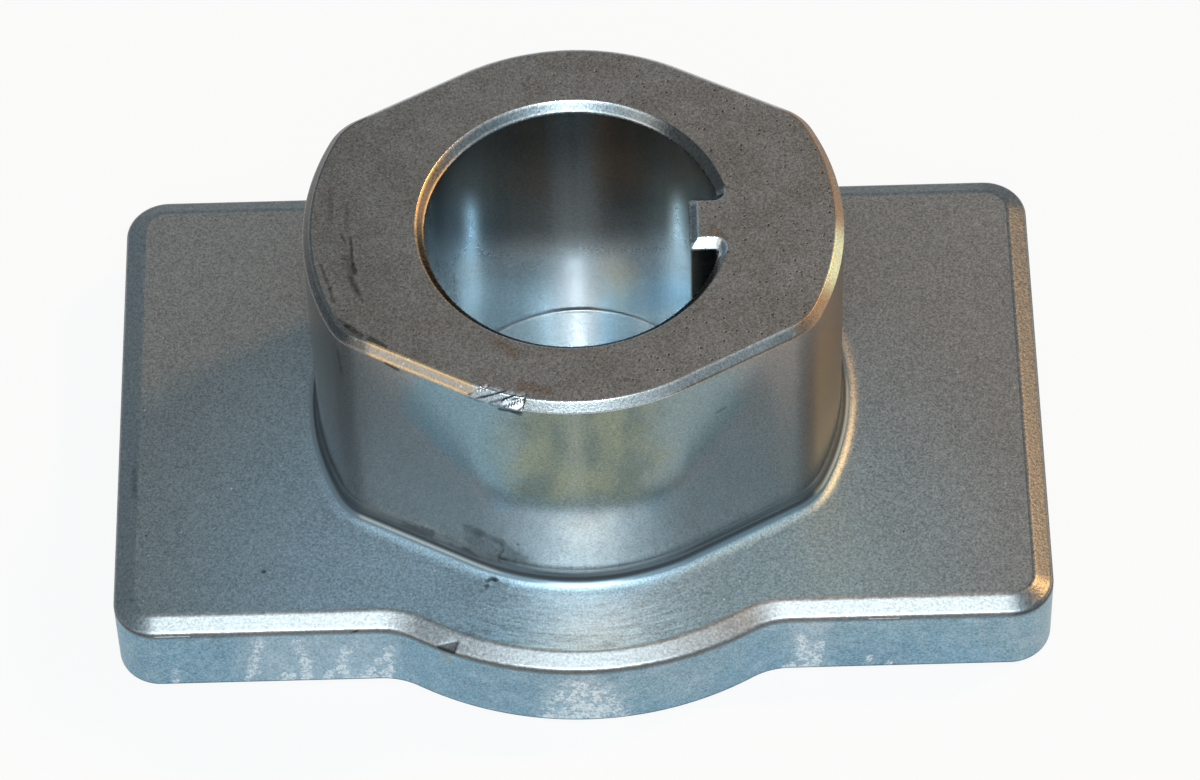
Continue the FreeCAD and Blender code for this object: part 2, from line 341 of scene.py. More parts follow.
PLATE_PROFILE = rounded(
    [(-UNDERSIDE_MARGIN, 0), (0, 0), (0, PLATE_TOP - PLATE_CHAMFER[1]), (-PLATE_CHAMFER[0], PLATE_TOP),
     (-PLATE_MARGIN, PLATE_TOP)],
    [(RIM_FOOT_ROUND, 4), (RIM_HEAD_ROUND, 5), (PLATE_EDGE_ROUND, 3)], rows=[0, 0, 3, 0])
HUB_PROFILE = rounded(
    [(ROOT_MARGIN, PLATE_TOP), (0, PLATE_TOP), (0, HEIGHT - HUB_CHAMFER[1]), (-HUB_CHAMFER[0], HEIGHT),
     (-HUB_MARGIN, HEIGHT)],
    [(HUB_ROOT, 10), (HUB_EDGE_ROUND, 3), (HUB_EDGE_ROUND, 3)], rows=[0, 2, 5, 2])
socket_rows = rounded(
    [(MOUTH_MARGIN, HEIGHT), (MOUTH_CHAMFER, HEIGHT), (0, HEIGHT - MOUTH_CHAMFER), (0, SOCKET_FLOOR),
     (-FLOOR_MARGIN, SOCKET_FLOOR)],
    [(HUB_EDGE_ROUND, 3), (HUB_EDGE_ROUND, 3), (FLOOR_ROUND, 4)], rows=[0, 1, 1, 0])
# The socket's last stretch would lie on its floor, where rows that swing round the key take its place.
SOCKET_PROFILE = [row for row in socket_rows if row[2] < len(SOCKET_FINISHES)]
FLOOR_PROFILE = [(share, SOCKET_FLOOR, 0) for share in FLOOR_SHARES]
HOLE_PROFILE = rounded(
    [(HOLE_MARGIN, SOCKET_FLOOR), (0, SOCKET_FLOOR), (0, HOLE_CHAMFER), (HOLE_CHAMFER, 0),
     (HOLE_FOOT_MARGIN, 0)],
    [(HOLE_ROUND, 3), (HOLE_ROUND, 2), (HOLE_ROUND, 2)], rows=[0, 0, 0, 0])


def surface_rows():
    """Every row of the one closed surface, from the underside's rim over the hub and down through the hole.

    Gives the points as an array of rows by columns by XYZ, and each row's finish.
    """
    points, finishes = [], []
    for loop, profile, names in [
        (plate_loop, PLATE_PROFILE, PLATE_FINISHES),
        (hub_loop, HUB_PROFILE, HUB_FINISHES),
        (socket_loop, SOCKET_PROFILE, SOCKET_FINISHES),
        (floor_loop, FLOOR_PROFILE, FLOOR_FINISHES),
        (hole_loop, HOLE_PROFILE, HOLE_FINISHES),
    ]:
        for offset, height, stretch in profile:
            plan = loop(offset)
            points.append(np.column_stack([plan, np.full(len(plan), height)]))
            finishes.append(list(FINISHES).index(names[stretch]))
    return np.array(points), np.array(finishes)


def smooth(value, low, high):
    """A smooth step: 0 at low, 1 at high."""
    share = np.clip((value - low) / (high - low), 0, 1)
    return share * share * (3 - 2 * share)


# The knock on the hub's front left edge: where it lies, the scales that it tore up, and how it leans.
KNOCK_TURN = 249.9
SCALE_STEP = 0.53
SCALE_START = 0.585
SCALE_TURN = 29
SCALE_HEIGHT = 0.15
# The share of a step over which the next scale rises, and how unlike each other the scales are.
SCALE_BREAK = (0.82, 1.0)
SCALE_MEAN, SCALE_SWING, SCALE_BEAT = 0.8, 0.35, 2.1
SCOOP_SLOPE = 0.22
SCOOP_DEPTH = 0.03
LIP_OVERHANG = 0.13
# Where the knock and its lip fade in and out. The knock's left border slants.
KNOCK_LEFT, KNOCK_RIGHT = (-1.9, -1.5), (2.1, 2.2)
KNOCK_FOOT, KNOCK_HEAD = (-0.56, -0.42), (0.52, 0.72)
LIP_LEFT, LIP_RIGHT = (-0.6, 1.6), (2.0, 2.2)
LIP_FOOT, LIP_HEAD = (-0.56, -0.4), (-0.4, 0.1)
# The chip out of the plate's chamfer, left of the boss's middle, and where it fades out.
CHIP_TURN = 245.3
CHIP_HALF = 0.9
CHIP_RISE = 1.0
CHIP_DEPTH = 0.08
CHIP_FADE = 0.3
CHIP_TOP_FADE = (0.4, 0.15)
CHIP_FOOT = (PLATE_TOP - 0.9, PLATE_TOP - 0.65)


def along_edge(x, y, middle, radius):
    """How far round an edge of this radius a place lies from the angle of its middle."""
    turn = (np.degrees(np.arctan2(y, x)) - middle + 180) % 360 - 180
    return np.radians(turn) * radius


def torn_edge(points):
    """The knock on the hub's edge: a scoop leaning back, torn into slanting scales, and a lip at the right.

    Along the edge and across the chamfer are measured from the knock's middle. The scoop sinks evenly up the
    chamfer. Over each step of a slanting line a scale sinks evenly to the right, and the next one rises over
    the last part of the step. Both move the surface along the chamfer's normal. The lip moves it outwards.
    """
    x, y, z = np.moveaxis(points, 2, 0)
    radius = np.hypot(x, y)
    width, depth = HUB_CHAMFER
    slope = math.hypot(width, depth)
    out = radius - HUB_FLAT_RADIUS + width / 2
    up = z - HEIGHT + depth / 2
    along = along_edge(x, y, KNOCK_TURN, HUB_FLAT_RADIUS)
    across = (depth * up - width * out) / slope
    lean = math.radians(SCALE_TURN)
    step = (along * math.sin(lean) - across * math.cos(lean)) / SCALE_STEP + SCALE_START
    share = step - np.floor(step)
    uneven = SCALE_MEAN + SCALE_SWING * np.sin(SCALE_BEAT * np.floor(step))
    scale = (0.5 - share + smooth(share, *SCALE_BREAK)) * uneven
    here = smooth(along - across, *KNOCK_LEFT) * (1 - smooth(along, *KNOCK_RIGHT))
    here = here * smooth(across, *KNOCK_FOOT) * (1 - smooth(across, *KNOCK_HEAD))
    rise = (SCALE_HEIGHT * scale - SCOOP_SLOPE * across - SCOOP_DEPTH) * here
    lip = LIP_OVERHANG * smooth(along, *LIP_LEFT) * (1 - smooth(along, *LIP_RIGHT))
    lip = lip * smooth(across, *LIP_FOOT) * (1 - smooth(across, *LIP_HEAD))
    outward = 1 + (rise * depth / slope + lip) / radius
    lifted = np.minimum(z + rise * width / slope, HEIGHT)
    return np.stack([x * outward, y * outward, lifted], 2), here


def chipped_edge(points):
    """The chip out of the plate's chamfer: a three-cornered hollow, highest at its upright right side.

    It sinks the surface by the same depth inwards and down.
    """
    x, y, z = np.moveaxis(points, 2, 0)
    radius = np.hypot(x, y)
    along = along_edge(x, y, CHIP_TURN, BOSS_RADIUS)
    inwards = BOSS_RADIUS - radius
    top = CHIP_RISE * (along + CHIP_HALF) / (2 * CHIP_HALF)
    here = smooth(along, -CHIP_HALF, -CHIP_HALF + CHIP_FADE)
    here = here * (1 - smooth(along, CHIP_HALF - CHIP_FADE, CHIP_HALF))
    here = here * (1 - smooth(inwards, top - CHIP_TOP_FADE[0], top + CHIP_TOP_FADE[1]))
    here = here * smooth(z, *CHIP_FOOT)
    sunk = CHIP_DEPTH * here * math.sqrt(0.5)
    shrink = 1 - sunk / radius
    return np.stack([x * shrink, y * shrink, z - sunk], 2), here


def closed_grid(name, points, finishes):
    """A mesh of four-sided faces on a grid whose rows and columns both close on themselves."""
    rows, columns, _ = points.shape
    index = np.arange(rows * columns).reshape(rows, columns)
    below = np.roll(index, -1, 0)
    faces = np.stack([index, np.roll(index, -1, 1), np.roll(below, -1, 1), below], 2).reshape(-1, 4)
    mesh = bpy.data.meshes.new(name)
    mesh.vertices.add(rows * columns)
    mesh.vertices.foreach_set("co", (points * METRE).astype(np.float32).ravel())
    mesh.loops.add(faces.size)
    mesh.loops.foreach_set("vertex_index", faces.astype(np.int32).ravel())
    mesh.polygons.add(len(faces))
    mesh.polygons.foreach_set("loop_start", np.arange(0, faces.size, 4, dtype=np.int32))
    mesh.polygons.foreach_set("material_index", np.repeat(finishes, columns).astype(np.int32))
    mesh.polygons.foreach_set("use_smooth", np.ones(len(faces), bool))
    mesh.update(calc_edges=True)
    mesh.validate()
    return mesh


class Field:
    """A value, colour or vector over a surface: a node's output, with arithmetic on values."""

    def __init__(self, tree, socket=None):
        self.tree = tree
        self.socket = socket

    def node(self, kind, settings=None, inputs=None, output=0):
        """Any node: its settings are set, then its inputs are filled or linked. It gives one output."""
        made = self.tree.nodes.new(kind)
        for key, value in (settings or {}).items():
            setattr(made, key, value)
        for key, value in (inputs or {}).items():
            if isinstance(value, Field):
                self.tree.links.new(value.socket, made.inputs[key])
            else:
                made.inputs[key].default_value = value
        return Field(self.tree, made.outputs[output] if made.outputs else None)

    def math(self, operation, *values):
        return self.node("ShaderNodeMath", {"operation": operation}, dict(enumerate(values)))

    def __add__(self, other):
        return self.math("ADD", self, other)

    def __radd__(self, other):
        return self.math("ADD", other, self)

    def __sub__(self, other):
        return self.math("SUBTRACT", self, other)

    def __rsub__(self, other):
        return self.math("SUBTRACT", other, self)

    def __mul__(self, other):
        return self.math("MULTIPLY", self, other)

    def __rmul__(self, other):
        return self.math("MULTIPLY", other, self)

    def __truediv__(self, other):
        return self.math("DIVIDE", self, other)

    def __rtruediv__(self, other):
        return self.math("DIVIDE", other, self)

    def above(self, low, high):
        """A smooth step: 0 below low, 1 above high."""
        limits = {"Value": self, "From Min": low, "From Max": high}
        return self.node("ShaderNodeMapRange", {"interpolation_type": "SMOOTHSTEP"}, limits)

    def below(self, low, high):
        """A smooth step: 1 below low, 0 above high."""
        return 1 - self.above(low, high)

    def between(self, low, high, soft):
        """1 between two limits, fading out over a soft width on each side."""
        return self.above(low - soft, low + soft) * self.below(high - soft, high + soft)


class Finish(Field):
    """One material: its node tree, places in millimetres and the steel shader."""

    def __init__(self, name):
        self.material = bpy.data.materials.new(name)
        self.material.use_nodes = True
        tree = self.material.node_tree
        tree.nodes.clear()
        super().__init__(tree)
        place = self.node("ShaderNodeTexCoord", output="Object")
        self.place = self.node("ShaderNodeVectorMath", {"operation": "SCALE"}, {0: place, "Scale": 1 / METRE})
        apart = self.node("ShaderNodeSeparateXYZ", inputs={0: self.place}).socket.node
        self.axes = [Field(tree, socket) for socket in apart.outputs]

    def stretched(self, x, y, z):
        """The place, with each direction scaled by itself."""
        return self.vector("MULTIPLY", self.place, (x, y, z))

    def noise(self, per_mm, detail=2.0, roughness=0.5, place=None):
        """Noise about 0.5, with so many lumps to the millimetre."""
        return self.node("ShaderNodeTexNoise", inputs={
            "Vector": place or self.place, "Scale": per_mm, "Detail": detail, "Roughness": roughness})

    def dots(self, per_mm, radius, share):
        """Round specks on a scattered lattice: 1 within a radius, in its steps, on a share of its points."""
        lattice = {"Vector": self.place, "Scale": per_mm}
        cells = self.node("ShaderNodeTexVoronoi", inputs=lattice).socket.node
        near = Field(self.tree, cells.outputs["Distance"]).below(radius * 0.5, radius)
        draw = self.node("ShaderNodeSeparateColor", inputs={0: Field(self.tree, cells.outputs["Color"])})
        return near * draw.math("LESS_THAN", draw, share)

    def vector(self, operation, first, second, output="Vector"):
        """Arithmetic on two vectors."""
        return self.node("ShaderNodeVectorMath", {"operation": operation}, {0: first, 1: second}, output)

    def wobble(self, amount, per_mm=1.4):
        """Noise about 0 that makes the border of a mark ragged."""
        return 2 * amount * (self.noise(per_mm, detail=3) - 0.5)

    def stroke(self, first, last, half_width, wobble):
        """A soft-edged mark along the line between two places: 1 on it, 0 past its half width."""
        way = Vector(last) - Vector(first)
        from_first = self.vector("SUBTRACT", self.place, first)
        share = self.vector("DOT_PRODUCT", from_first, way / way.length_squared, "Value")
        share = share.math("MINIMUM", share.math("MAXIMUM", share, 0.0), 1.0)
        foot = self.node("ShaderNodeVectorMath", {"operation": "SCALE"}, {0: way, "Scale": share})
        away = self.vector("DISTANCE", from_first, foot, "Value") / half_width
        return (away + wobble).below(0.2, 1.0)

    def marked(self, tone, marks, wobble):
        """A tone made darker by marks, each given as (first end, last end, half width, strength)."""
        for first, last, half_width, strength in marks:
            tone = tone * (1 - strength * self.stroke(first, last, half_width, wobble))
        return tone

    def kept(self, name):
        """A value that the mesh keeps at each point."""
        return self.node("ShaderNodeAttribute", {"attribute_name": name}, output="Fac")

    def mix(self, mask, first, second):
        """A colour that goes from the first to the second as the mask goes from 0 to 1."""
        return self.node("ShaderNodeMix", {"data_type": "RGBA"}, {0: mask, 6: first, 7: second}, output=2)

    def layered(self, colour, *layers):
        """A colour with others laid over it in turn, each given as (mask, colour)."""
        for mask, over in layers:
            colour = self.mix(mask, colour, over)
        return colour

    def shade(self, colour, factor):
        """A colour made lighter or darker by a varying factor."""
        grey = self.node("ShaderNodeCombineXYZ", inputs={0: factor, 1: factor, 2: factor})
        return self.vector("MULTIPLY", colour, grey)

    def steel(self, colour, roughness, height, depth, metallic=1.0):
        """The finished metal: a height field, so many millimetres deep, tilts its surface."""
        relief = {"Height": height, "Distance": depth * METRE, "Strength": 1.0}
        bump = self.node("ShaderNodeBump", inputs=relief)
        shader = self.node("ShaderNodeBsdfPrincipled", inputs={
            "Base Color": colour, "Metallic": metallic, "Roughness": roughness, "Normal": bump})
        self.node("ShaderNodeOutputMaterial", inputs={"Surface": shader})


def flat_marks(axis, level, marks):
    """Marks in a plane across an axis, from (first end in it, last end in it, half width, strength)."""
    table = np.insert(np.insert(marks, axis + 2, level, 1), axis, level, 1)
    return [(row[:3], row[3:6], row[6], row[7]) for row in table.tolist()]


# Marks of use, on the hub's top and on the front of the rim's wings.
OIL_SMEARS = flat_marks(2, HEIGHT, [
    (-17.3, -0.6, -17.0, -1.3, 0.18, 0.4), (-16.6, -0.9, -16.4, -3.5, 0.17, 0.5),
    (-16.4, -3.5, -16.2, -4.3, 0.28, 0.5), (-16.8, -2.8, -16.5, -4.5, 0.55, 0.32),
    (-16.5, -4.8, -16.1, -5.9, 0.38, 0.5), (-16.1, -5.9, -15.7, -6.8, 0.22, 0.4),
    (-18.8, -3.4, -18.1, -5.7, 0.22, 0.4), (-18.1, -5.7, -17.8, -6.9, 0.2, 0.4),
    (-17.4, -8.6, -16.8, -9.3, 0.28, 0.45), (-16.8, -9.2, -15.8, -10.1, 0.4, 0.6),
    (-15.1, -10.5, -14.0, -11.2, 0.4, 0.6), (-18.1, 3.8, -18.1, 0.8, 0.28, 0.25),
    (-16.9, 2.4, -16.9, -0.2, 0.25, 0.25),
])
RUST_MARKS = flat_marks(2, HEIGHT, [
    (-5.9, -10.9, -4.4, -12.1, 0.7, 0.5), (-4.0, -15.0, -2.2, -15.6, 0.7, 0.55),
    (-2.2, -11.8, 1.5, -12.2, 0.6, 0.3), (10.2, 3.8, 11.4, 2.9, 0.5, 0.5),
    (10.4, -1.2, 11.1, -2.0, 0.6, 0.5),
])
# Pale wisps, where the front was rubbed.
WING_WISPS = flat_marks(1, -PLATE_HALF_WIDTH, [
    (-31.3, 0.5, -31.3, 1.8, 0.575, 0.35), (-25.9, 0.2, -25.8, 0.8, 0.4025, 0.9),
    (-25.4, 1.4, -25.1, 3.2, 0.6325, 0.6), (-24.9, 4.2, -24.6, 5.4, 0.69, 0.4),
    (-22.9, 0.2, -22.9, 1.1, 0.4025, 0.85), (-22.4, 0.2, -22.4, 1.0, 0.345, 0.7),
    (-21.7, 5.2, -21.4, 4.0, 0.69, 0.4), (-21.4, 0.3, -21.3, 2.9, 0.575, 0.85),
    (-19.7, 0.2, -19.6, 1.1, 0.4025, 0.95), (-19.5, 1.2, -18.6, 2.0, 0.4025, 0.55),
    (-18.6, 1.5, -18.2, 4.4, 0.575, 0.65), (-18.3, 0.2, -18.3, 1.4, 0.4025, 0.8),
    (-17.8, 0.2, -16.2, 0.4, 0.4025, 0.95), (-16.6, 1.0, -15.7, 2.6, 0.69, 0.4),
    (-15.2, 0.2, -15.0, 1.3, 0.575, 1.0), (-14.9, 1.5, -14.9, 4.4, 0.46, 0.65),
    (16.5, 1.9, 16.5, 4.2, 0.69, 0.55), (17.8, 2.6, 17.9, 3.4, 0.4025, 0.65),
    (16.6, 1.3, 17.3, 2.0, 0.46, 0.65), (17.4, 0.2, 17.7, 1.5, 0.575, 0.85),
    (16.5, 0.2, 17.0, 0.6, 0.4025, 0.85), (15.1, 0.2, 15.8, 0.5, 0.46, 0.75),
    (21.5, 0.5, 21.7, 1.4, 0.4025, 0.5), (23.1, 0.2, 23.2, 0.6, 0.345, 0.5),
])
# Marks of use elsewhere and a painted shadow under the knock, each as (first end, last end, half width,
# strength).
WALL_SMUDGES_AND_SHADOW = [
    ((-8.5, -15.1, 11.4), (-7.7, -15.5, 11.3), 0.85, 0.36),
    ((-7.7, -15.5, 11.4), (-6.2, -16.2, 11.1), 0.7, 0.3),
    ((-6.2, -16.2, 11.1), (-4.6, -16.7, 9.6), 0.85, 0.32),
    ((-8.0, -15.3, 9.9), (-4.6, -16.7, 9.2), 1.7, 0.3),
    ((-4.8, -16.6, 11.4), (-4.8, -16.6, 11.3), 0.17, 0.6),
    # This mark and the next are a painted shadow under the knock's lip.
    ((-5.6, -16.35, 28.2), (-4.1, -16.8, 28.3), 0.28, 0.8),
    ((-4.7, -16.65, 28.2), (-4.1, -16.8, 28.0), 0.2, 0.6),
    ((-17.6, -9.8, 27.0), (-17.4, -9.9, 24.6), 0.3, 0.35),
    ((-13.9, -12.1, 28.5), (-13.1, -12.5, 28.3), 0.3, 0.75),
    ((10.4, -14.0, 24.0), (10.9, -13.8, 24.1), 0.25, 0.4),
]
PLATE_SMUDGES = [
    ((-6.9, -16.95, 7.42), (-6.7, -17.0, 7.42), 0.34, 0.9),
    ((-7.1, -17.0, 7.37), (-7.25, -17.15, 7.35), 0.26, 0.6),
    ((-7.3, -17.5, 7.3), (-7.3, -17.6, 7.3), 0.3, 0.65),
    ((-6.5, -17.35, 7.33), (-5.9, -17.4, 7.36), 0.45, 0.45),
    ((-5.3, -17.3, 7.38), (-5.2, -17.3, 7.38), 0.17, 0.5),
    ((-8.3, -15.9, 7.48), (-8.2, -15.9, 7.48), 0.16, 0.55),
    ((-24.3, -15.7, 7.3), (-24.2, -15.7, 7.3), 0.2, 0.7),
]
PLATE_EDGE_MARKS = [
    ((-34.3, -5.6, 7.0), (-34.2, -8.4, 7.0), 0.45, 0.5),
    ((-34.3, -17.8, 7.0), (-34.2, -17.9, 7.0), 0.4, 0.6),
    ((-17.6, -20.95, 6.42), (-16.9, -20.7, 6.66), 0.15, 0.85),
]
# Bright scrapes along the lower edge of the plate's chamfer.
PLATE_SCRAPES = [
    ((-32.4, -20.9, 6.45), (-29.9, -20.9, 6.45), 0.12, 0.8),
    ((21.6, -20.9, 6.45), (23.8, -20.9, 6.45), 0.12, 0.7),
]
# Cracks between the torn scales of the knock.
KNOCK_CRACKS = [
    ((-7.04, -15.71, 28.74), (-6.05, -15.72, 29.15), 0.12, 0.85),
    ((-6.05, -15.72, 29.15), (-5.07, -15.52, 29.3), 0.12, 0.75),
    ((-5.68, -16.33, 28.66), (-5.28, -16.1, 29.03), 0.12, 0.8),
    ((-5.28, -16.1, 29.03), (-4.49, -15.93, 29.3), 0.13, 0.85),
    ((-4.69, -16.23, 29.09), (-3.61, -15.93, 29.3), 0.1, 0.7),
    ((-3.71, -16.29, 29.29), (-3.93, -16.74, 28.77), 0.12, 0.95),
]
# The stain under the plate's chip, and the middle of the plate's front, where the painted cool light on its
# face is strongest.
CHIP_STAIN = ((-10.6, -22.8, 6.2), (-10.3, -22.9, 5.6))
FRONT_MIDDLE = (0, -21, PLATE_TOP)

# Colours of the bare steel in its places, of what use left on it, and of light and shade painted on it.
UNDERSIDE_GREY = (0.46, 0.47, 0.47)
PLATE_GREY = (0.355, 0.36, 0.36, 1)
# Painted cool bounce light on the plate's face, at its left and at its right.
PLATE_BOUNCE_LEFT = (0.515, 0.67, 0.775, 1)
PLATE_BOUNCE_RIGHT = (0.40, 0.58, 0.69, 1)
PLATE_RUBBED = (0.58, 0.65, 0.68, 1)
EDGE_GREY = (0.35, 0.38, 0.4, 1)
# A painted shade on the plate chamfer's right end, then a painted highlight along its front.
EDGE_RIGHT = (0.25, 0.285, 0.31, 1)
EDGE_FRONT = (0.63, 0.62, 0.62, 1)
EDGE_BOSS = (0.44, 0.45, 0.46, 1)
SCRAPED = (0.9, 0.92, 0.93, 1)
# The rim's blue tint is a painted reflection of the floor under cool light.
RIM_BLUE = (0.30, 0.47, 0.575)
RIM_PALE = (0.92, 0.96, 0.98, 1)
RIM_STAIN = (0.36, 0.33, 0.16, 1)
WALL_STEEL = (0.455, 0.41, 0.385, 1)
BACK_STEEL = (0.42, 0.425, 0.43, 1)
# A painted shade on the hub wall's right end, then the colours of the painted reflection high on its front.
WALL_END = (0.105, 0.13, 0.15, 1)
OLIVE_DARK = (0.19, 0.245, 0.22, 1)
OLIVE_PALE = (0.32, 0.36, 0.265, 1)
OLIVE_STRIPE = (0.37, 0.42, 0.36, 1)
WALL_REFLECTION_LEFT = (0.3, 0.435, 0.49, 1)
WALL_REFLECTION_RIGHT = (0.29, 0.38, 0.4, 1)
CHAMFER_GREY = (0.5, 0.505, 0.51, 1)
CHAMFER_LEFT_FLAT = (0.5, 0.48, 0.46, 1)
CHAMFER_FLAT = (0.62, 0.64, 0.65, 1)
# A painted highlight on the front of the hub's chamfer.
CHAMFER_FRONT = (0.68, 0.685, 0.69, 1)
CHAMFER_BROWN = (0.42, 0.32, 0.24, 1)
CHAMFER_TAN = (0.37, 0.29, 0.225, 1)
# A painted highlight at the chamfer's right end, then painted highlights along the chamfer edges, the last in
# orange.
CHAMFER_PALE = (0.72, 0.85, 0.67, 1)
LINE_BRIGHT = (0.78, 0.78, 0.77, 1)
LINE_ORANGE = (1.0, 0.68, 0.38, 1)
TORN_STEEL = (0.56, 0.58, 0.6, 1)
MOUTH_COOL = (0.4, 0.44, 0.47, 1)
MOUTH_BROWN = (0.24, 0.2, 0.17, 1)
MOUTH_DULL = (0.17, 0.165, 0.16, 1)
MOUTH_FRONT = (0.3, 0.28, 0.26, 1)
# Painted highlights on the mouth's edges, orange at the left, and on the key's chamfers.
MOUTH_BRIGHT = (0.85, 0.86, 0.87, 1)
MOUTH_ORANGE = (0.95, 0.66, 0.38, 1)
KEY_BRIGHT = (0.95, 0.96, 0.97, 1)
TOP_BROWN = (0.325, 0.31, 0.295, 1)
TOP_GREY = (0.35, 0.345, 0.34, 1)
RUST_BROWN = (0.25, 0.165, 0.11, 1)
SOCKET_GREY = (0.56, 0.64, 0.68, 1)
# Painted reflections in the socket: bright low on the wall, neutral in the middle, cool at the low right,
# dark high up.
SOCKET_LOW = (0.72, 0.83, 0.89, 1)
SOCKET_MIDDLE = (0.78, 0.8, 0.82, 1)
SOCKET_BLUE = (0.48, 0.65, 0.78, 1)
SOCKET_DARK_REFLECTION = (0.44, 0.46, 0.465, 1)
SOCKET_BROWN = (0.45, 0.39, 0.335, 1)
# The gloss of the hub's wall and of its root fillet, and the height at which the fillet ends.
WALL_ROUGHNESS = 0.14
ROOT_ROUGHNESS = 0.18
ROOT_TOP = PLATE_TOP + HUB_ROOT
# The bright lines painted as highlights along both edges of the hub's two chamfers, and half their width.
LOWER_LINE = HEIGHT - HUB_CHAMFER[1] + 0.12
UPPER_LINE = HEIGHT - 0.12
LINE_HALF = 0.06
# How steeply the border of the dark painted reflection on the socket's wall rises towards the front.
REFLECTION_RISE = 1.35


def underside(finish, *_):
    """Fine-grained steel, for the faces that lie hidden."""
    grain = finish.noise(3.5, detail=3)
    cloud = finish.noise(0.25, detail=3)
    tone = 0.6 + 0.4 * grain + 0.4 * cloud
    finish.steel(finish.shade(UNDERSIDE_GREY, tone), 0.42 + 0.1 * (grain - 0.5), grain, 0.01)


def wall_metal(finish, y):
    """The hub wall's bare steel: a little warmer in front than at the back."""
    return finish.mix(y.above(0, 8), WALL_STEEL, BACK_STEEL)


def root_shade(finish, x, y, z):
    """How dark the painted shade in the root fillet is: darkest low down, and gone a little way up the hub's
    wall.
    """
    lines = finish.noise(1.0, place=finish.stretched(0.15, 0.15, 3.0))
    left_flat = x.between(-13.5, -7.5, 1.5) * y.below(-9, -7)
    smears = finish.noise(0.8, detail=4).above(0.42, 0.62) * left_flat
    return 0.66 * (z + 1.0 * (lines - 0.5) - 0.6 * smears).below(ROOT_TOP - 0.9, ROOT_TOP + 0.4)


def plate_face(finish, x, y, z):
    """The plate's pressed face: grainy, with painted cool bounce light in front and faint rubbed rings round
    the hub.

    Up the root fillet it turns into the hub wall's smooth steel, and a dark band of painted shade lies there.
    """
    grain = finish.noise(6.5, roughness=0.65)
    cloud = finish.noise(0.22, detail=3)
    along_rings = {0: x * 0.35, 1: y * 0.35, 2: finish.kept("ring") * 4.0}
    turning = finish.node("ShaderNodeCombineXYZ", inputs=along_rings)
    rings = finish.noise(1.0, detail=3, roughness=0.6, place=turning)
    specks = finish.dots(0.9, 0.11, 0.06)
    glints = finish.dots(1.6, 0.16, 0.04)
    foot = z.above(PLATE_TOP + 0.16, PLATE_TOP + 0.34)
    rising = z.above(PLATE_TOP + 0.25, ROOT_TOP)
    # Painted shade: a dark band low in the root fillet.
    shade_band = z.above(PLATE_TOP + 0.38, PLATE_TOP + 0.6) * root_shade(finish, x, y, z)
    rubbed = y.below(-24, -15) * x.between(-9, 10, 4)
    tone = -0.05 + 1.9 * grain + 0.16 * cloud + 1.9 * (rings - 0.5) * rubbed
    tone = tone * (1 - 0.6 * specks)
    tone = finish.marked(tone, PLATE_SMUDGES, finish.wobble(0.8, per_mm=2.5)) + 0.9 * glints
    # At the fillet's foot the grain gives way to an even tone, lowest at the foot: a painted shade that dims
    # the highlight.
    tone = (tone + (0.73 + 0.32 * rising - tone) * foot) * (1 - shade_band)
    # Painted cool bounce light, strongest round the middle of the plate's front.
    near = finish.vector("DISTANCE", finish.place, FRONT_MIDDLE, "Value").below(12, 40)
    cool = finish.mix(x.above(0, 16), PLATE_BOUNCE_LEFT, PLATE_BOUNCE_RIGHT)
    most_rubbed = rubbed * x.between(-3, 4, 3)
    wall = wall_metal(finish, y)
    metal = finish.layered(PLATE_GREY, (near, cool), (most_rubbed, PLATE_RUBBED), (rising, wall))
    roughness = 0.4 + 0.2 * (grain - 0.5)
    roughness = roughness + (ROOT_ROUGHNESS - roughness) * foot
    height = (grain - 0.6 * specks) * (1 - foot)
    finish.steel(finish.shade(metal, tone), roughness, height, 0.018, metallic=0.75 + 0.25 * rising)


def plate_edge(finish, x, y, z):
    """The plate's chamfer: grainy, a painted highlight in front, painted shade at the right, foot and greasy
    chip.
    """
    grain = finish.noise(5.0, roughness=0.6)
    front = y.below(-19.5, -17.5) * x.between(-32.8, 32.4, 0.9)
    boss = x.between(-13, 13, 2)
    right = x.above(30, 34)
    chip = finish.kept("chipped").above(0.02, 0.5)
    low = z.below(6.58, 6.72)
    tone = finish.marked(0.3 + 1.4 * grain, PLATE_EDGE_MARKS, finish.wobble(0.4))
    # The chip is darkened by grease and painted shade, and the low band by painted shade.
    tone = tone * (1 - 0.68 * chip) * (1 - 0.65 * low)
    # A painted highlight along the front, and painted shade at the right end.
    metal = finish.layered(EDGE_GREY, (right, EDGE_RIGHT), (front, EDGE_FRONT), (0.6 * boss, EDGE_BOSS))
    scraped = 1 - finish.marked(1.0, PLATE_SCRAPES, finish.wobble(0.7, per_mm=3))
    metal = finish.mix(scraped, finish.shade(metal, tone), SCRAPED)
    roughness = 0.34 + 0.2 * (grain - 0.5) + 0.25 * chip
    finish.steel(metal, roughness, grain * (1 - chip), 0.014, metallic=0.9)


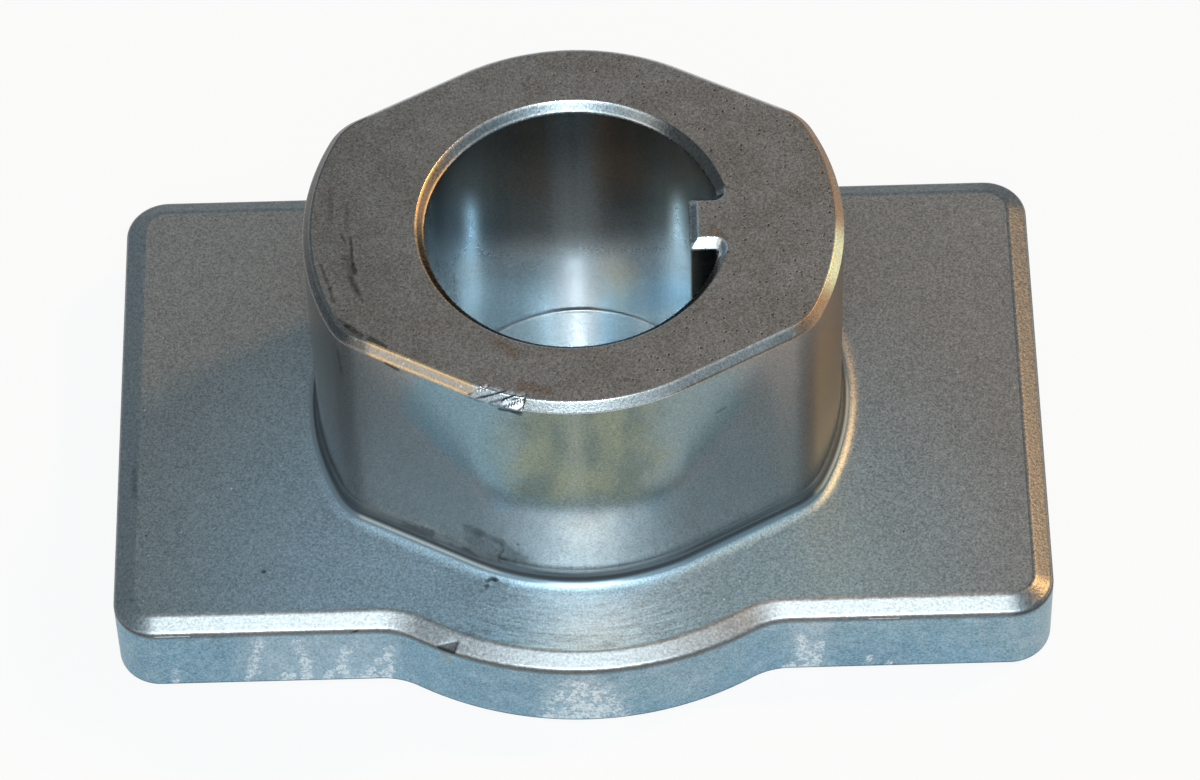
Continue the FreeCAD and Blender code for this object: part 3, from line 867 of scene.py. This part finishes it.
def rim(finish, x, y, z):
    """The plate's drawn side wall: grainy, with painted shade along both edges, and rubbed pale in front.

    It is rubbed in wisps and one patch, broken up by clumps and fine salt, and palest low down.
    """
    grain = finish.noise(6.0, roughness=0.65)
    salt = finish.noise(4.6, detail=3, roughness=0.8).above(0.4, 0.58)
    clumps = finish.noise(1.9, detail=4, roughness=0.75).above(0.45, 0.58)
    mist = finish.noise(0.8, detail=5, roughness=0.75).above(0.42, 0.72)
    cloud = finish.noise(0.2, detail=3)
    specks = finish.dots(1.3, 0.12, 0.1)
    bare = finish.marked(1.0, WING_WISPS, finish.wobble(1.1, per_mm=2.4))
    spread = x.math("ABSOLUTE", x + 0.2) + 0.3 * z
    patch = y.below(-24, -23) * spread.below(1.4, 4.6) * z.below(3.6, 7.0)
    rubbed = 1 - bare * (1 - patch)
    low = z.below(0.3, 2.2)
    scuffed = x.between(-26, -14.5, 1.5) + x.between(15.5, 18.5, 1.0)
    worn = rubbed * (0.3 + 1.3 * clumps) * (0.3 + (1.0 + 0.9 * low) * salt)
    pale = worn + (0.32 * scuffed + 0.3 * mist) * (0.3 + 0.7 * salt)
    # Painted shade: a dark line under the chamfer, and a darker contact shadow along the foot.
    lines = z.above(6.05, 6.4) * 0.5 + z.below(0.2, 0.34) * 0.85
    tone = (-0.1 + 1.8 * grain + 0.3 * cloud) * (1 - 0.65 * specks)
    stain_and_shade = finish.stroke(*CHIP_STAIN, 0.5, finish.wobble(0.4))
    # The blue of RIM_BLUE is a painted reflection of the floor under cool light.
    metal = finish.layered(finish.shade(RIM_BLUE, tone), (pale, RIM_PALE), (0.4 * stain_and_shade, RIM_STAIN))
    # The chip is darkened by grease and painted shade.
    chip = finish.kept("chipped").above(0.02, 0.5)
    metal = finish.shade(metal, (1 - lines) * (1 - 0.65 * chip))
    finish.steel(metal, 0.32 + 0.1 * (grain - 0.5) + 0.15 * pale, grain, 0.01, metallic=0.9)


def hub_wall(finish, x, y, z):
    """The hub's drawn wall: smooth, with painted shade at foot and ends and a painted reflection high on its
    front.

    The reflection is cool, its lower border rises towards both sides, and its middle has an olive cast in
    bands.
    """
    grain = finish.noise(6.0, roughness=0.6)
    bands = finish.noise(1.0, detail=3, place=finish.stretched(0.42, 0.42, 0.16))
    patches = finish.noise(0.3, detail=3)
    right_end = x.above(15.8, 18.4)
    specks = finish.dots(0.8, 0.1, 0.08)
    tone = finish.marked(0.4 + 1.1 * grain, WALL_SMUDGES_AND_SHADOW, finish.wobble(0.35))
    # Painted shade at the root and at the left end.
    tone = tone * (1 - root_shade(finish, x, y, z)) * (1 - 0.25 * x.below(-17.5, -15)) * (1 - 0.45 * specks)
    height = z + 3 * (patches - 0.5)
    sideways = x + 5 * (patches - 0.5)
    aside = x.math("ABSOLUTE", x)
    outer = aside.math("MAXIMUM", aside - 6, 0.0)
    rise = height - 1.1 * outer - 0.9 * aside.below(3.5, 6.5)
    front = y.below(-12.5, -11.5)
    # A painted reflection high on the front: cool at its sides and olive in its middle.
    painted_reflection = front * rise.above(14, 17.5) * sideways.between(-12.5, 12.5, 1.8)
    cast = front * rise.above(15, 18.4) * sideways.between(-5.4, 5.6, 2.2)
    stripe = x.between(-0.9, 0.5, 0.7)
    olive = finish.layered(OLIVE_DARK, (bands.above(0.36, 0.66), OLIVE_PALE), (0.6 * stripe, OLIVE_STRIPE))
    cool = finish.mix(x.above(-6, 6), WALL_REFLECTION_LEFT, WALL_REFLECTION_RIGHT)
    # The dark right end is a painted shade.
    metal = finish.layered(wall_metal(finish, y), (painted_reflection, cool), (cast * 0.9, olive), (right_end, WALL_END))
    roughness = WALL_ROUGHNESS + 0.06 * (grain - 0.5) + 0.2 * x.above(13, 16)
    finish.steel(finish.shade(metal, tone), roughness, grain, 0.005)


def lower_line(z):
    """A band along the lower edge of a chamfer round the hub's top."""
    return z.below(LOWER_LINE - LINE_HALF, LOWER_LINE + LINE_HALF)


def edge_lines(z):
    """Both edges of a chamfer round the hub's top, where highlights are painted."""
    return lower_line(z) + z.above(UPPER_LINE - LINE_HALF, UPPER_LINE + LINE_HALF)


def hub_edge(finish, x, y, z):
    """The hub's chamfer: grainy and glinting, with painted highlights along both its edges.

    It is orange at the left flat, painted dark at the left end, tan with a painted highlight at the right end
    and torn at the knock.
    """
    grain = finish.noise(6.0, roughness=0.6)
    glints = finish.dots(2.6, 0.3, 0.12)
    torn = finish.kept("torn").above(0.2, 0.6)
    left_end = x.below(-15.8, -14.8)
    right_end = x.above(15.4, 16.8)
    front = y.below(-15.8, -14.8)
    left_flat_edge = x.between(-15.4, -7.6, 0.3) * y.below(-4, -3) * (1 - torn)
    right_flat = x.between(5, 14.6, 0.8) * y.below(-6, -4)
    browned = x.above(6, 9) * y.below(-6, -4) * lower_line(z)
    tone = 0.4 + 1.2 * grain + 0.6 * glints
    # Painted highlights along both edges, orange at the left flat.
    bright = finish.mix(left_flat_edge, LINE_BRIGHT, LINE_ORANGE)
    # A painted highlight in the middle of the tan at the right end.
    tan = finish.mix(y.between(-6.4, -1.2, 1.6), CHAMFER_TAN, CHAMFER_PALE)
    # The front is painted brighter: a painted highlight.
    metal = finish.layered(
        CHAMFER_GREY, (left_flat_edge, CHAMFER_LEFT_FLAT), (right_flat, CHAMFER_FLAT),
        (front * (1 - left_flat_edge), CHAMFER_FRONT), (edge_lines(z), bright), (browned, CHAMFER_BROWN),
        (right_end, tan), (torn, TORN_STEEL))
    # The left end is painted dark: a painted shade.
    tone = finish.marked(tone * (1 - 0.65 * left_end), KNOCK_CRACKS, finish.wobble(0.4, per_mm=3))
    roughness = 0.27 + 0.16 * (grain - 0.5) + 0.15 * right_end
    finish.steel(finish.shade(metal, tone), roughness, grain, 0.012)


def mouth_edge(finish, x, y, z):
    """The socket mouth's chamfer: cool at the back, brown at the left, dull by the key, and painted
    highlights on its edges.
    """
    grain = finish.noise(5.0)
    brown = x.below(-9.5, -6) * y.below(5, 8)
    dull = x.above(5, 8) * y.above(2.6, 3.2)
    before_key = x.above(8, 9) * y.below(-3.6, -3)
    key_sides = y.between(-3.2, -1.9, 0.1) + y.between(1.6, 2.5, 0.1)
    tone = 0.4 + 1.2 * grain
    # Painted highlights along the edges, orange at the left.
    bright = finish.mix(brown, MOUTH_BRIGHT, MOUTH_ORANGE)
    # The key's chamfers get a painted highlight too.
    metal = finish.layered(
        MOUTH_COOL, (brown, MOUTH_BROWN), (edge_lines(z), bright), (dull, MOUTH_DULL),
        (before_key, MOUTH_FRONT), (x.between(8.45, 11.0, 0.12) * key_sides, KEY_BRIGHT))
    finish.steel(finish.shade(metal, tone), 0.27 + 0.16 * (grain - 0.5), grain, 0.012)


def hub_top(finish, x, *_):
    """The hub's pressed top: brown-grey and grainy, pitted most on the right, oily at the left, with rust."""
    grain = finish.noise(6.5, roughness=0.65)
    cloud = finish.noise(0.3, detail=4)
    left = x.below(-17, -8)
    pits = finish.dots(2.2, 0.28, 0.34) * (0.25 + 0.75 * x.above(-8, 8)) + 0.8 * finish.dots(1.1, 0.11, 0.4)
    glints = finish.dots(2.6, 0.2, 0.06)
    tone = (-0.1 + 2.0 * grain + 0.2 * cloud) * (1 - 0.7 * pits) * (1 - 0.12 * left)
    tone = finish.marked(tone, OIL_SMEARS, finish.wobble(0.5, per_mm=1.6)) + 0.8 * glints
    clean = finish.marked(1.0, RUST_MARKS, finish.wobble(0.9))
    torn = finish.kept("torn").above(0.1, 0.5)
    metal = finish.layered(
        TOP_BROWN, (cloud.above(0.3, 0.7), TOP_GREY), (1 - clean, RUST_BROWN), (0.8 * torn, TORN_STEEL))
    tone = finish.marked(tone, KNOCK_CRACKS, finish.wobble(0.4, per_mm=3))
    roughness = 0.43 + 0.2 * (grain - 0.5)
    finish.steel(finish.shade(metal, tone), roughness, grain - pits, 0.018, metallic=0.9)


def socket(finish, x, y, z):
    """The socket: a smooth wall with faint upright streaks, a matt floor, and painted reflections on the
    wall.

    A dark one lies high on the wall and a bright one low down, neutral and dimmed in the middle.
    The dark one's border lies in a plane that rises towards the front. It is thin in the middle of the back,
    darkest on the right, and gives way to a painted highlight in a narrow upright stripe at each back corner.
    """
    grain = finish.noise(4.5)
    streaks = finish.noise(1.0, detail=3, place=finish.stretched(1.1, 1.1, 0.05))
    aside = x.math("ABSOLUTE", x)
    level = z + REFLECTION_RISE * (y - SOCKET_RADIUS) + 0.6 * (streaks - 0.5)
    # A bright painted reflection low on the wall.
    low = level.below(7.5, 13.0)
    middle = aside.below(0.5, 2.8)
    # A painted highlight in an upright stripe at each back corner.
    stripe = aside.between(7.45, 8.35, 0.65) * level.below(16.0, 20.0)
    streak_highlight = stripe * level.above(8.0, 15.0)
    # A dark painted reflection high on the back wall.
    painted_reflection = level.above(9.5, 15.0) * (1 - 0.85 * stripe) * (1 - 0.3 * middle)
    painted_reflection = y.above(2.0, 4.5) * (painted_reflection + (1 - painted_reflection) * 0.3 * x.below(-9.6, -8.7))
    # Painted shade beside the key.
    nook = x.above(8.4, 8.9) * y.between(-6, -2.2, 0.3)
    floor = z.below(SOCKET_FLOOR + 0.05, SOCKET_FLOOR + 0.3)
    # Painted shade on the right, and a cool painted reflection low on the right.
    right = x.between(2.6, 9.6, 1.4) * level.above(13.5, 18.0)
    low_right = low * x.between(1.9, 4.6, 0.9)
    tone = (0.5 + 0.7 * grain + 0.3 * streaks) * (1 - 0.55 * painted_reflection) * (1 - 0.85 * nook)
    # The stripes get their painted highlight, the middle is dimmed, and the top, right and low left get
    # painted shade.
    tone = tone * (1 + 0.55 * streak_highlight) * (1 - 0.42 * low * middle) * (1 - 0.3 * level.above(20, 26))
    tone = tone * (1 - 0.08 * floor) * (1 - 0.36 * right) * (1 - 0.1 * low * x.below(-5.0, -2.5))
    stain_and_shade = finish.mix(level.above(15, 21) * (1 - middle), SOCKET_DARK_REFLECTION, SOCKET_BROWN)
    metal = finish.layered(
        SOCKET_GREY, (low, SOCKET_LOW), (low * middle, SOCKET_MIDDLE),
        (low_right, SOCKET_BLUE), (painted_reflection, stain_and_shade))
    roughness = 0.24 + 0.08 * (grain - 0.5) + 0.12 * painted_reflection
    finish.steel(finish.shade(metal, tone), roughness, grain, 0.002, metallic=1 - 0.45 * floor)


# What makes each finish from a fresh material and its three axes, in the order of the mesh's materials.
FINISHES = {make.__name__: make for make in (
    underside, rim, plate_edge, plate_face, hub_wall, hub_edge, hub_top, mouth_edge, socket)}


def build_adapter():
    """The adapter's one surface, in place of its solid."""
    points, finishes = surface_rows()
    ring = np.linalg.norm(points[:, :, :2] - HUB_POINTS, axis=2)
    points, torn = torn_edge(points)
    points, chipped = chipped_edge(points)
    mesh = closed_grid("adapter_body", points, finishes)
    for name, values in {"ring": ring, "torn": torn, "chipped": chipped}.items():
        kept = mesh.attributes.new(name, "FLOAT", "POINT")
        kept.data.foreach_set("value", values.astype(np.float32).ravel())
    for name, make in FINISHES.items():
        finish = Finish(name)
        make(finish, *finish.axes)
        mesh.materials.append(finish.material)
    piece = bpy.data.objects.new("adapter_body", mesh)
    bpy.context.scene.collection.objects.link(piece)
    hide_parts(NODE)
    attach(piece, "root")


# The camera, as fitted to the photograph's edges: elevation, yaw and roll, and the way to the axis's foot.
CAMERA_TURNS = (53.283, -0.506, 1.897)
CAMERA_DISTANCE = 472.44
CAMERA_RIGHT, CAMERA_DOWN = -1.449, 4.987
FOCAL_PIXELS = 6015.9
PHOTO_WIDTH = 1200
SENSOR = 36.0
NEAREST_SEEN = 0.01


def place_camera():
    """A camera at the photograph's viewing angle."""
    elevation, yaw, roll = (math.radians(angle) for angle in CAMERA_TURNS)
    level = math.cos(elevation)
    ahead = Vector((math.sin(yaw) * level, math.cos(yaw) * level, -math.sin(elevation)))
    right = Vector((math.cos(yaw), -math.sin(yaw), 0))
    down = ahead.cross(right)
    right, down = (
        math.cos(roll) * right + math.sin(roll) * down,
        math.cos(roll) * down - math.sin(roll) * right)
    place = -(CAMERA_RIGHT * right + CAMERA_DOWN * down + CAMERA_DISTANCE * ahead) * METRE
    camera = bpy.data.objects.new("camera", bpy.data.cameras.new("camera"))
    camera.data.sensor_width = SENSOR
    camera.data.lens = FOCAL_PIXELS / PHOTO_WIDTH * SENSOR
    camera.data.clip_start = NEAREST_SEEN
    axes = Matrix((right, -down, -ahead)).transposed()
    camera.matrix_world = Matrix.Translation(place) @ axes.to_4x4()
    bpy.context.scene.collection.objects.link(camera)
    bpy.context.scene.camera = camera


# Each lamp as (name, azimuth from +X towards +Y, elevation, distance and size in metres, radiance, colour).
LAMPS = [
    ("front_lamp", -90, 60, 0.62, (0.28, 0.55), 2.1, (0.8, 0.95, 1.0)),
    ("camera_lamp", -90, 55.5, 0.6, (0.06, 0.06), 60.0, (0.8, 0.93, 1.0)),
    ("front_fill", -90, 50, 1.0, (1.3, 0.9), 0.3, (0.75, 0.93, 1.0)),
    ("side_lamp", 30, 47, 1.2, (0.13, 0.13), 92.0, (1.0, 0.5, 0.16)),
    ("side_glow", 13, 9, 0.7, (0.65, 0.26), 1.3, (1.0, 0.68, 0.36)),
    ("left_glow", 222, 28, 0.7, (0.25, 0.25), 0.9, (1.0, 0.84, 0.66)),
]
ROOM_COLOUR = (0.21, 0.26, 0.285, 1)


def light_studio():
    """Cool lamps in front and by the camera, warm ones on the right and at the left, and a dim even room."""
    for name, azimuth, elevation, distance, size, radiance, colour in LAMPS:
        lamp = bpy.data.lights.new(name, "AREA")
        lamp.shape = "RECTANGLE"
        lamp.size, lamp.size_y = size
        lamp.energy = radiance * math.pi * size[0] * size[1]
        lamp.color = colour
        piece = bpy.data.objects.new(name, lamp)
        turn, rise = math.radians(azimuth), math.radians(elevation)
        towards = Vector((math.cos(rise) * math.cos(turn), math.cos(rise) * math.sin(turn), math.sin(rise)))
        piece.location = towards * distance
        piece.rotation_euler = towards.to_track_quat("Z", "Y").to_euler()
        piece.visible_camera = False
        bpy.context.scene.collection.objects.link(piece)
    world = bpy.data.worlds.new("room")
    world.use_nodes = True
    world.node_tree.nodes["Background"].inputs["Color"].default_value = ROOM_COLOUR
    bpy.context.scene.world = world


# How white the floor looks, how much of that the steel mirrors, its own paint, and its place in metres.
WHITE_SHARE = 0.9
GLOSS_SHARE = 0.3
FLOOR_PAINT = (0.8, 0.8, 0.8, 1)
FLOOR_WHITE = (1, 1, 1, 1)
FLOOR_HALF = 3.0
FLOOR_GAP = 0.00005


def lay_floor():
    """A pale floor that looks near white, and keeps a soft shadow."""
    mesh = bpy.data.meshes.new("floor")
    square = ((-1, -1), (1, -1), (1, 1), (-1, 1))
    mesh.from_pydata([(x * FLOOR_HALF, y * FLOOR_HALF, -FLOOR_GAP) for x, y in square], [], [(0, 1, 2, 3)])
    floor = Finish("floor")
    light = floor.node("ShaderNodeLightPath").socket.node
    kinds = ("Is Camera Ray", "Is Glossy Ray", "Is Transmission Ray")
    camera, glossy, transmission = (Field(floor.tree, light.outputs[kind]) for kind in kinds)
    seen = camera + transmission + GLOSS_SHARE * glossy
    matt = floor.node("ShaderNodeBsdfDiffuse", inputs={"Color": FLOOR_PAINT})
    white = floor.node("ShaderNodeEmission", inputs={"Color": FLOOR_WHITE})
    both = floor.node("ShaderNodeMixShader", inputs={0: WHITE_SHARE * seen, 1: matt, 2: white})
    floor.node("ShaderNodeOutputMaterial", inputs={"Surface": both})
    mesh.materials.append(floor.material)
    piece = bpy.data.objects.new("floor", mesh)
    bpy.context.scene.collection.objects.link(piece)


build_adapter()
place_camera()
light_studio()
lay_floor()
bpy.context.scene.view_settings.view_transform = "Standard"
